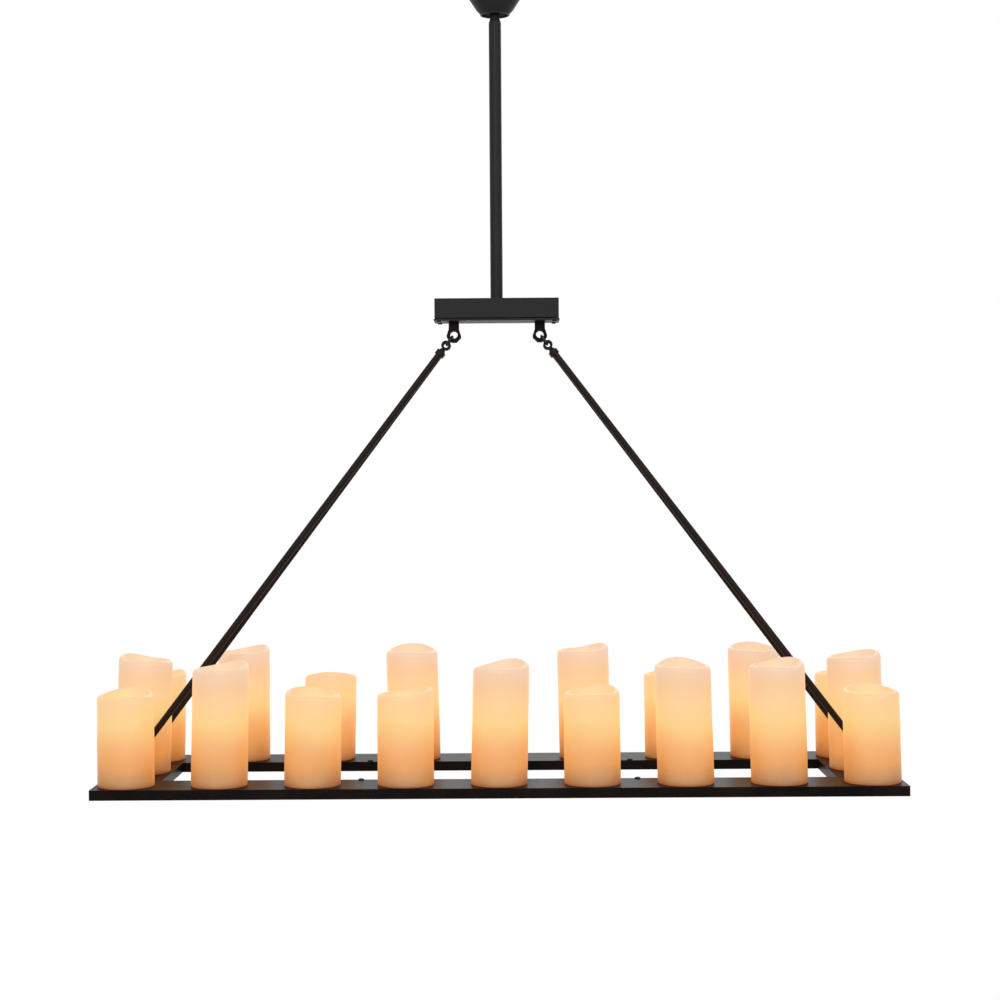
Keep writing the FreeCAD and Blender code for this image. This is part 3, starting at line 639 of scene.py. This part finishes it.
def revolved(name: str, section: Callable[[float], Pairs], steps: int) -> bpy.types.Mesh:
    """Turns a section about the Z axis into a closed mesh.

    Args:
        name: the mesh's name.
        section: gives the section's radius and height pairs at an angle. A radius of 0 is a pole.
        steps: how many segments go round.

    Returns:
        The mesh, in metres, about the origin.
    """
    form = bmesh.new()
    angles = [2 * math.pi * k / steps for k in range(steps)]
    rings = []
    for pairs in zip(*(section(angle) for angle in angles)):
        spots = [(radius * math.cos(angle), radius * math.sin(angle), height)
                 for angle, (radius, height) in zip(angles, pairs)]
        is_pole = pairs[0][0] == 0
        rings.append([form.verts.new(Vector(spot) * MM) for spot in (spots[:1] if is_pole else spots)])
    bridge(form, rings)
    for end in (rings[0][::-1], rings[-1]):
        if len(end) > 1:
            form.faces.new(end)
    bmesh.ops.recalc_face_normals(form, faces=form.faces)
    return mesh_from(form, name)


def dressed_node(name: str, slot: Slot, materials: Materials, width: float) -> bpy.types.Object:
    """Replaces a CAD node with a copy whose corners are softly rounded.

    Args:
        name: the CAD node.
        slot: the copy's material slot.
        materials: the pendant's materials.
        width: the rounding of its corners in millimetres.

    Returns:
        The new piece.
    """
    source = frame["nodes"][name]
    form = bmesh.new()
    form.from_mesh(source.data)
    bmesh.ops.remove_doubles(form, verts=form.verts, dist=MERGE_DISTANCE)
    bmesh.ops.dissolve_limit(form, angle_limit=math.radians(FLAT_ANGLE), verts=form.verts,
                             edges=form.edges)
    mesh = modified(mesh_from(form, name + "_skin"), "BEVEL", width=width * MM, segments=2,
                    limit_method="ANGLE", angle_limit=math.radians(CORNER_ANGLE),
                    use_clamp_overlap=True)
    shade(mesh, SHARP_ANGLE)
    mesh = modified(mesh, "WEIGHTED_NORMAL", keep_sharp=True)
    skin = new_piece(name + "_skin", mesh, body_of(source)[0], slot, materials)
    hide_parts(name)
    return skin


# ------------------------------------------------------------------ repeated pieces


class Repeater:
    """Geometry Nodes group that sets one model on each of many points."""

    def __init__(self) -> None:
        """Builds the group with its named inputs."""
        tree = new_group("Set On Points", "GeometryNodeTree", (
            ("Points", Kind.GEOMETRY, None),
            ("Piece", Kind.OBJECT, None),
            ("Finish", Kind.MATERIAL, None),
            ("Turn Step", Kind.NUMBER, 0.7),
        ), (("Geometry", Kind.GEOMETRY),))
        given = node(tree, "NodeGroupInput").outputs
        index = node(tree, "GeometryNodeInputIndex").outputs[0]
        turn = node(tree, "ShaderNodeCombineXYZ", {
            "Z": result_of(tree, "MULTIPLY", index, given["Turn Step"]),
        })
        source = node(tree, "GeometryNodeObjectInfo", {"Object": given["Piece"]})
        setter = node(tree, "GeometryNodeInstanceOnPoints", {
            "Points": given["Points"], "Instance": source.outputs["Geometry"],
            "Rotation": turn.outputs[0],
        })
        real = node(tree, "GeometryNodeRealizeInstances", {"Geometry": setter.outputs["Instances"]})
        finish = node(tree, "GeometryNodeSetMaterial", {
            "Geometry": real.outputs["Geometry"], "Material": given["Finish"],
        })
        node(tree, "NodeGroupOutput", {"Geometry": finish.outputs["Geometry"]})
        self.tree = tree

    def place(self, name: str, model: bpy.types.Mesh, points: list[Point], slot: Slot,
              materials: Materials) -> bpy.types.Object:
        """Sets a model on each point and makes one piece of them, on the frame's body.

        Args:
            name: the piece's name.
            model: the mesh to repeat, about the origin.
            points: the places in millimetres.
            slot: the piece's material slot.
            materials: the pendant's materials.

        Returns:
            The new piece.
        """
        source = shown(name + "_model", model)
        dots = bpy.data.meshes.new(name + "_points")
        dots.from_pydata([[c * MM for c in point] for point in points], [], [])
        holder = shown(name + "_points", dots)
        modifier = holder.modifiers.new("Set On Points", "NODES")
        modifier.node_group = self.tree
        sockets = {s.name: s.identifier for s in self.tree.interface.items_tree if s.in_out == "INPUT"}
        modifier[sockets["Piece"]] = source
        modifier[sockets["Finish"]] = materials.by_slot[slot]
        made = evaluated(holder)
        bpy.data.objects.remove(source)
        return new_piece(name, made, FRAME_BODY, slot, materials)


# ------------------------------------------------------------------ sub-assemblies


@dataclass
class Sleeve:
    """One hand-finished candle sleeve, standing over its lamp.

    along and across count candle pitches from the frame's middle, and turn and lean are degrees.
    """

    name: str
    along: int
    across: int
    height: float
    turn: float
    lean: float
    steps: int = 72
    sharp_angle: float = 60.0
    # The outside: nearly straight, with a small step at the foot and a soft hand-made sway.
    base_radius: float = 42.1
    draft: float = 0.15
    inset: float = 0.2
    foot_width: float = 0.7
    foot_height: float = 0.8
    side_start: float = 1.8
    side_rows: int = 12
    first_row: float = 0.35
    sway: float = 0.18
    sway_twist: float = 9.0
    # The rim: one lobe over a slow fall, with two fine ripples.
    lobe: float = 7.0
    lobe_reach: float = 1.6
    fall: float = 1.2
    ripple: float = 0.5
    fine_ripple: float = 0.3
    rim_drop: float = 0.4
    rim_width: float = 5.5
    rim_depth: float = 7.0
    rim_rows: int = 7
    lip: tuple = ((1.0, 0.3), (1.7, 1.1), (2.1, 2.3))
    # The inside: a dish in the top, and a straight bore for the lamp below its roof.
    dish: float = 19.0
    dish_edge: float = 3.2
    dish_inset: float = 8.0
    dish_slope: float = 2.3
    dish_rows: tuple = (0.55, 0.93, 1.0)
    dish_foot: float = 0.6
    dish_floor: tuple = ((27.0, 0.35), (14.0, 0.10), (5.0, 0.05))
    bore: float = 37.0
    roof: float = 3.0

    def radius(self, height: float) -> float:
        """Gives the outside radius at a height over the base."""
        return self.base_radius - height * math.tan(math.radians(self.draft))

    def rim(self, angle: float) -> float:
        """Gives the rim's height round the sleeve.

        Args:
            angle: the angle round the sleeve in radians, 0 at the lobe.

        Returns:
            The height over the base in millimetres.
        """
        away = abs(math.remainder(angle, 2 * math.pi))
        level = self.height - self.lobe - self.fall + self.fall * math.cos(angle)
        bump = 0.5 + 0.5 * math.cos(math.pi * min(1.0, away / self.lobe_reach))
        ripple = self.ripple * math.sin(2 * angle + self.turn)
        ripple += self.fine_ripple * math.sin(3 * angle + self.along)
        return level + self.lobe * bump + ripple - self.rim_drop

    def foot(self) -> Pairs:
        """Gives the section of the bore and the foot."""
        outside = self.radius(0) - self.inset
        return [(self.bore, self.height - self.dish - self.roof), (self.bore, 0.0),
                (outside - self.foot_width, 0.0), (outside, self.foot_height)]

    def side(self, angle: float) -> Pairs:
        """Gives the outside's section, up to the rim's rounding.

        Args:
            angle: the angle round the sleeve in radians.

        Returns:
            Radius and height pairs in millimetres, from the foot up.
        """
        pairs = []
        top = self.rim(angle) - self.rim_depth
        for row in range(self.side_rows + 1):
            share = (row + self.first_row) / (self.side_rows + self.first_row)
            height = self.side_start + (top - self.side_start) * share
            wave = math.sin(2 * angle + self.sway_twist * share + self.turn) * math.sin(math.pi * share)
            pairs.append((self.radius(height) + self.sway * wave - self.inset, height))
        return pairs

    def edge(self, rim: float) -> Pairs:
        """Gives the rounded rim's section.

        Args:
            rim: the rim's height there.

        Returns:
            Radius and height pairs in millimetres, from outside over the top to the lip.
        """
        outside = self.radius(rim) - self.inset
        pairs = []
        for row in range(1, self.rim_rows + 1):
            arc = math.pi / 2 * row / self.rim_rows
            pairs.append((outside - self.rim_width * (1 - math.cos(arc)),
                          rim - self.rim_depth * (1 - math.sin(arc))))
        return pairs + [(outside - self.rim_width - inward, rim - drop) for inward, drop in self.lip]

    def bowl(self, rim: float) -> Pairs:
        """Gives the section of the dish in the sleeve's top.

        Args:
            rim: the rim's height there.

        Returns:
            Radius and height pairs in millimetres, from the rim down and over the floor.
        """
        floor = self.height - self.dish
        start = rim - self.dish_edge
        pairs = []
        for share in self.dish_rows:
            height = start + (floor + self.dish_foot - start) * share
            pairs.append((self.radius(height) - self.dish_inset - self.dish_slope * share**2, height))
        return pairs + [(radius, floor + rise) for radius, rise in self.dish_floor]

    def section(self, angle: float) -> Pairs:
        """Gives the whole section at an angle, from the bore round the rim to the dish's floor."""
        rim = self.rim(angle)
        return self.foot() + self.side(angle) + self.edge(rim) + self.bowl(rim)

    def build(self, materials: Materials) -> None:
        """Makes the sleeve and puts it in its node's place.

        Args:
            materials: the pendant's materials.
        """
        mesh = revolved(self.name, self.section, self.steps)
        mesh.transform(Matrix.Rotation(math.radians(self.turn), 4, "Z"))
        slope = math.tan(math.radians(self.lean))
        for vertex in mesh.vertices:
            vertex.co.x += slope * vertex.co.z
        place = Vector((self.along * CANDLE_PITCH, self.across * CANDLE_PITCH, BAR_TOP))
        mesh.transform(Matrix.Translation(place * MM))
        shade(mesh, self.sharp_angle)
        piece = new_piece(self.name + "_wax", mesh, self.name, Slot.WAX, materials)
        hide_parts(self.name)


@dataclass
class CandleSet:
    """All twenty sleeves, with the heights, turns and leans of the photo."""

    sleeves: tuple = (
        Sleeve("candle_front_1", -4, -1, SHORT, 75, 0.0),
        Sleeve("candle_front_2", -3, -1, TALL, 45, 1.2),
        Sleeve("candle_front_3", -2, -1, SHORT, 130, 0.9),
        Sleeve("candle_front_4", -1, -1, SHORT, 15, 0.0),
        Sleeve("candle_front_5", 0, -1, TALL, 52, 1.4),
        Sleeve("candle_front_6", 1, -1, SHORT, 50, -0.4),
        Sleeve("candle_front_7", 2, -1, TALL, 103, -1.5),
        Sleeve("candle_front_8", 3, -1, TALL, 45, -1.3),
        Sleeve("candle_front_9", 4, -1, SHORT, 100, -1.3),
        Sleeve("candle_back_1", -4, 1, SHORT, 25, 1.5),
        Sleeve("candle_back_2", -3, 1, TALL, 40, 0.3),
        Sleeve("candle_back_3", -2, 1, SHORT, 270, 1.4),
        Sleeve("candle_back_4", -1, 1, TALL, 90, -1.2),
        Sleeve("candle_back_5", 0, 1, SHORT, 60, 0.0),
        Sleeve("candle_back_6", 1, 1, TALL, 20, -1.3),
        Sleeve("candle_back_7", 2, 1, SHORT, 20, -0.8),
        Sleeve("candle_back_8", 3, 1, TALL, 105, -1.4),
        Sleeve("candle_back_9", 4, 1, SHORT, 0, -0.9),
        Sleeve("candle_left", -4, 0, TALL, 160, 1.8),
        Sleeve("candle_right", 4, 0, TALL, 25, -1.5),
    )

    def points(self, height: float) -> list[Point]:
        """Gives the point at a height over the bars on each candle's axis."""
        level = BAR_TOP + height
        return [(s.along * CANDLE_PITCH, s.across * CANDLE_PITCH, level) for s in self.sleeves]

    def build(self, materials: Materials) -> None:
        """Makes every sleeve."""
        for sleeve in self.sleeves:
            sleeve.build(materials)


@dataclass
class Lamps:
    """Lamp holders and bulbs on their seats, seen when a sleeve is lifted off."""

    seat_height: float = 5.0
    holder_height: float = 52.0
    holder_steps: int = 40
    holder_sharp_angle: float = 40.0
    bulb_steps: int = 32
    bulb_sharp_angle: float = 50.0
    # Radius and height pairs from the foot up. A groove runs round the holder below its mouth.
    holder_outline: tuple = (
        (0, 0.05), (13.7, 0.05), (14.0, 1.5), (14.0, 39.0), (12.8, 40.0), (12.8, 44.0), (14.0, 45.0),
        (14.0, 49.5), (12.5, 51.6), (9.5, 51.6), (0, 51.6),
    )
    bulb_outline: tuple = (
        (0, 0.0), (8.6, 0.0), (9.0, 1.0), (10.5, 3.5), (13.5, 7.6), (15.9, 11.0), (17.1, 15.0),
        (17.4, 18.8), (17.0, 22.6), (15.8, 27.5), (13.6, 33.0), (10.4, 39.4), (7.4, 44.6),
        (4.6, 49.2), (2.3, 53.0), (0.9, 55.2), (0, 55.8),
    )

    def build(self, repeater: Repeater, candles: CandleSet, materials: Materials) -> None:
        """Makes the holders and the bulbs.

        Args:
            repeater: the Geometry Nodes repeater.
            candles: the candles that the lamps stand in.
            materials: the pendant's materials.
        """
        holder = revolved("holder", lambda angle: self.holder_outline, self.holder_steps)
        shade(holder, self.holder_sharp_angle)
        points = candles.points(self.seat_height)
        piece = repeater.place("lamp_holder_set", holder, points, Slot.HOLDER, materials)
        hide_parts("lamp_holders")
        bulb = revolved("bulb", lambda angle: self.bulb_outline, self.bulb_steps)
        shade(bulb, self.bulb_sharp_angle)
        points = candles.points(self.seat_height + self.holder_height)
        piece = repeater.place("bulb_set", bulb, points, Slot.BULB, materials)
        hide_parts("bulbs")


@dataclass
class Screws:
    """Visible screws: round heads on the bars and under the bottom plate."""

    # A head's radius, its height and the half width of its socket across the flats.
    deck_head: tuple = (4.5, 2.4, 1.5)
    plate_head: tuple = (3.0, 1.4, 1.0)
    # Shares of a head's radius and height along its crown, and of its height in the socket.
    crown: tuple = ((1.0, 0.35), (0.86, 0.78), (0.62, 1.0))
    socket_edge: float = 0.35
    socket_floor: float = 0.3
    lift: float = 0.02
    steps: int = 36
    sharp_angle: float = 35.0
    # Places along the bars in candle pitches from the frame's middle.
    deck_row: float = 1.5
    plate_rows: tuple = (-2.5, -0.5, 0.5, 2.5)
    plate_end_rows: tuple = (-0.3, 0.3)
    inner_line: float = 98.0
    foot_x: float = 560.0
    foot_step: float = 16.5
    foot_plate: float = 3.0

    def head(self, radius: float, height: float, socket: float) -> bpy.types.Mesh:
        """Makes a round head with a six-sided socket, standing on Z = 0.

        Args:
            radius: the head's radius in millimetres.
            height: its height.
            socket: the socket's half width across its flats.

        Returns:
            The mesh.
        """
        def section(angle: float) -> Pairs:
            """Gives the head's section, where the socket's wall follows its flats."""
            wall = socket / math.cos(angle % (math.pi / 3) - math.pi / 6)
            crown = [(radius * wide, height * high) for wide, high in self.crown]
            return [(0, self.lift), (radius, self.lift), *crown, (wall, height),
                    (wall, height * self.socket_edge), (0, height * self.socket_floor)]

        mesh = revolved("head", section, self.steps)
        shade(mesh, self.sharp_angle)
        return mesh

    def deck_points(self) -> list[Point]:
        """Gives the places of the heads on the bars and on the rods' feet.

        Returns:
            The points in millimetres.
        """
        signs = [(sx, sy) for sx in (-1, 1) for sy in (-1, 1)]
        points = [(sx * self.deck_row * CANDLE_PITCH, sy * self.inner_line, BAR_TOP) for sx, sy in signs]
        level = BAR_TOP + self.foot_plate
        for sx, sy in signs:
            for step in (-self.foot_step, self.foot_step):
                points.append((sx * (self.foot_x + step), sy * CANDLE_PITCH / 2, level))
        return points

    def plate_points(self) -> list[Point]:
        """Gives the places of the heads under the bottom plate.

        Returns:
            The points in millimetres.
        """
        sides = [(row, side) for row in self.plate_rows for side in (-1, 1)]
        ends = [(side * END_ROW, row) for row in self.plate_end_rows for side in (1, -1)]
        return [(along * CANDLE_PITCH, across * CANDLE_PITCH, BAR_UNDERSIDE)
                for along, across in sides + ends]

    def build(self, repeater: Repeater, materials: Materials) -> None:
        """Makes the screws' heads.

        Args:
            repeater: the Geometry Nodes repeater.
            materials: the pendant's materials.
        """
        piece = repeater.place("deck_screw_heads", self.head(*self.deck_head), self.deck_points(),
                               Slot.DARK, materials)
        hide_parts("deck_screws")
        under = self.head(*self.plate_head)
        under.transform(Matrix.Rotation(math.pi, 4, "X"))
        piece = repeater.place("plate_screw_heads", under, self.plate_points(), Slot.DARK, materials)
        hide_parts("plate_screws")


@dataclass
class Metalwork:
    """CAD nodes that show with softened corners, or as they are, in their finish."""

    # Each node's slot and the rounding of its corners in millimetres.
    rounded: tuple = (
        ("bar_front", Slot.FRAME, 0.7),
        ("bar_back", Slot.FRAME, 0.7),
        ("bar_left", Slot.FRAME, 0.7),
        ("bar_right", Slot.FRAME, 0.7),
        ("bottom_plate", Slot.FRAME, 0.3),
        ("hub_box", Slot.HUB, 0.6),
        ("hub_cover", Slot.HUB, 0.5),
        ("lug_left", Slot.FRAME, 0.4),
        ("lug_right", Slot.FRAME, 0.4),
        ("foot_brackets_left", Slot.FRAME, 0.4),
        ("foot_brackets_right", Slot.FRAME, 0.4),
        ("ceiling_crossbar", Slot.STEEL, 0.3),
        ("foot_bolts", Slot.DARK, 0.4),
        ("lug_screws", Slot.DARK, 0.4),
        ("hub_cover_screws", Slot.DARK, 0.3),
        ("stem_nut", Slot.STEEL, 0.4),
        ("nipple_locknut", Slot.STEEL, 0.3),
        ("rod_left_front", Slot.FRAME, 0.5),
        ("rod_left_back", Slot.FRAME, 0.5),
        ("rod_right_front", Slot.FRAME, 0.5),
        ("rod_right_back", Slot.FRAME, 0.5),
        ("canopy_screws", Slot.DARK, 0.6),
    )
    plain: tuple = (
        ("canopy", Slot.HUB),
        ("stem_clevis", Slot.HUB),
        ("stem_tube", Slot.HUB),
        ("stem_set_screw", Slot.DARK),
        ("swivel_nipple", Slot.STEEL),
        ("yoke_nut", Slot.STEEL),
        ("swivel_yoke", Slot.STEEL),
        ("swivel_cross", Slot.STEEL),
        ("candle_seats", Slot.SEAT),
        ("link_rings_left", Slot.DARK),
        ("link_rings_right", Slot.DARK),
    )

    def build(self, materials: Materials) -> None:
        """Dresses every CAD node named above.

        Args:
            materials: the pendant's materials.
        """
        for name, slot, width in self.rounded:
            skin = dressed_node(name, slot, materials, width)
            # The rods take the lighter, warmer copy of the frame paint, whose warmth is painted
            # candlelight.
            if name.startswith("rod_"):
                skin.data.materials[0] = materials.rods
        for name, slot in self.plain:
            mesh = frame["nodes"][name].data
            mesh.materials.clear()
            mesh.materials.append(materials.by_slot[slot])
            LOG.info("node %s in %s", name, slot.value)


# ------------------------------------------------------------------ studio


@dataclass(frozen=True)
class SoftLight:
    """One square area light; place and size are in metres, power in watts."""

    name: str
    place: Point
    size: float
    power: float

    def build(self, aim: Point) -> None:
        """Makes the light.

        Args:
            aim: the point that it shines at, in metres.
        """
        data = bpy.data.lights.new(self.name, "AREA")
        data.size = self.size
        data.energy = self.power
        holder = shown(self.name, data)
        holder.location = self.place
        holder.rotation_euler = (Vector(aim) - Vector(self.place)).to_track_quat("-Z", "Y").to_euler()


@dataclass
class Studio:
    """Floor, light and the photo's camera.

    Sizes and the eye are in millimetres, the focal length in pixels of the photo, the camera's
    angles in radians, and the lights and their aim in metres.
    """

    image_side: float = 1000.0
    sensor: float = 36.0
    focal: float = 1989.6
    eye: Point = (20.1, -3084.0, -776.9)
    pitch: float = -0.0131
    roll: float = 0.0066
    yaw: float = -0.0055
    far_end: float = 50000.0
    floor: float = -3600.0
    floor_half_side: float = 12000.0
    floor_tint: Color = (0.8, 0.8, 0.8, 1)
    floor_roughness: float = 0.9
    room_tint: Color = (0.95, 0.97, 1.0, 1)
    room_strength: float = 0.26
    aim: Point = (0, 0, -0.9)
    lights: tuple = (
        SoftLight("key_light", (-0.7, -3.2, 0.9), 1.4, 40.0),
        SoftLight("fill_light", (1.7, -2.9, 0.6), 1.6, 20.0),
        SoftLight("back_light", (0.6, 3.2, 0.8), 2.2, 22.0),
    )

    def camera(self) -> None:
        """Makes the camera at the photo's viewing angle, for a square image."""
        data = bpy.data.cameras.new("Camera")
        data.sensor_width = self.sensor
        data.sensor_fit = "HORIZONTAL"
        data.lens = self.focal * self.sensor / self.image_side
        data.clip_end = self.far_end * MM
        forward = Vector((math.sin(self.yaw) * math.cos(self.pitch),
                          math.cos(self.yaw) * math.cos(self.pitch),
                          math.sin(self.pitch)))
        level = forward.cross(Vector((0, 0, 1))).normalized()
        upright = level.cross(forward)
        right = level * math.cos(self.roll) - upright * math.sin(self.roll)
        up = level * math.sin(self.roll) + upright * math.cos(self.roll)
        turn = Matrix((right, up, -forward)).transposed().to_4x4()
        holder = shown("Camera", data)
        holder.matrix_world = Matrix.Translation(Vector(self.eye) * MM) @ turn
        bpy.context.scene.camera = holder

    @staticmethod
    def white_for_eyes(tree: bpy.types.NodeTree, lit: bpy.types.NodeSocket,
                       white: bpy.types.NodeSocket) -> bpy.types.NodeSocket:
        """Mixes what the object is lit by with the white that is seen behind it.

        Args:
            tree: the node tree of the floor's material or of the world.
            lit: the shader for the rays that light the object.
            white: the shader for camera, glossy and transmission rays.

        Returns:
            The mixed shader.
        """
        ray = node(tree, "ShaderNodeLightPath").outputs
        seen = result_of(tree, "MAXIMUM", ray["Is Camera Ray"], ray["Is Glossy Ray"])
        seen = result_of(tree, "MAXIMUM", seen, ray["Is Transmission Ray"])
        return node(tree, "ShaderNodeMixShader", {"Fac": seen, 1: lit, 2: white}).outputs[0]

    def ground(self) -> None:
        """Makes the pale floor."""
        form = bmesh.new()
        bmesh.ops.create_grid(form, x_segments=4, y_segments=4, size=self.floor_half_side * MM)
        mesh = mesh_from(form, "floor")
        mesh.transform(Matrix.Translation((0, 0, self.floor * MM)))
        material, tree, shader = new_material("pale_floor")
        feed(tree, shader, {"Base Color": self.floor_tint, "Roughness": self.floor_roughness})
        white = node(tree, "ShaderNodeEmission", {"Color": (1, 1, 1, 1)})
        surface = self.white_for_eyes(tree, shader.outputs[0], white.outputs[0])
        feed(tree, tree.nodes["Material Output"], {"Surface": surface})
        mesh.materials.append(material)
        shown("floor", mesh)

    def world(self) -> None:
        """Makes the white backdrop with dimmer light on the object."""
        world = bpy.data.worlds.new("Backdrop")
        bpy.context.scene.world = world
        world.use_nodes = True
        tree = world.node_tree
        tree.nodes.clear()
        white = node(tree, "ShaderNodeBackground", {"Color": (1, 1, 1, 1)})
        light = node(tree, "ShaderNodeBackground", {
            "Color": self.room_tint, "Strength": self.room_strength,
        })
        surface = self.white_for_eyes(tree, light.outputs[0], white.outputs[0])
        node(tree, "ShaderNodeOutputWorld", {"Surface": surface})

    def build(self) -> None:
        """Makes the whole studio."""
        self.camera()
        self.ground()
        self.world()
        for light in self.lights:
            light.build(self.aim)
        bpy.context.scene.view_settings.view_transform = "Standard"


def main() -> None:
    """Builds every sub-assembly and the studio."""
    materials = Materials()
    repeater = Repeater()
    candles = CandleSet()
    candles.build(materials)
    Lamps().build(repeater, candles, materials)
    Screws().build(repeater, materials)
    Metalwork().build(materials)
    Studio().build()


if __name__ == "__main__":
    main()
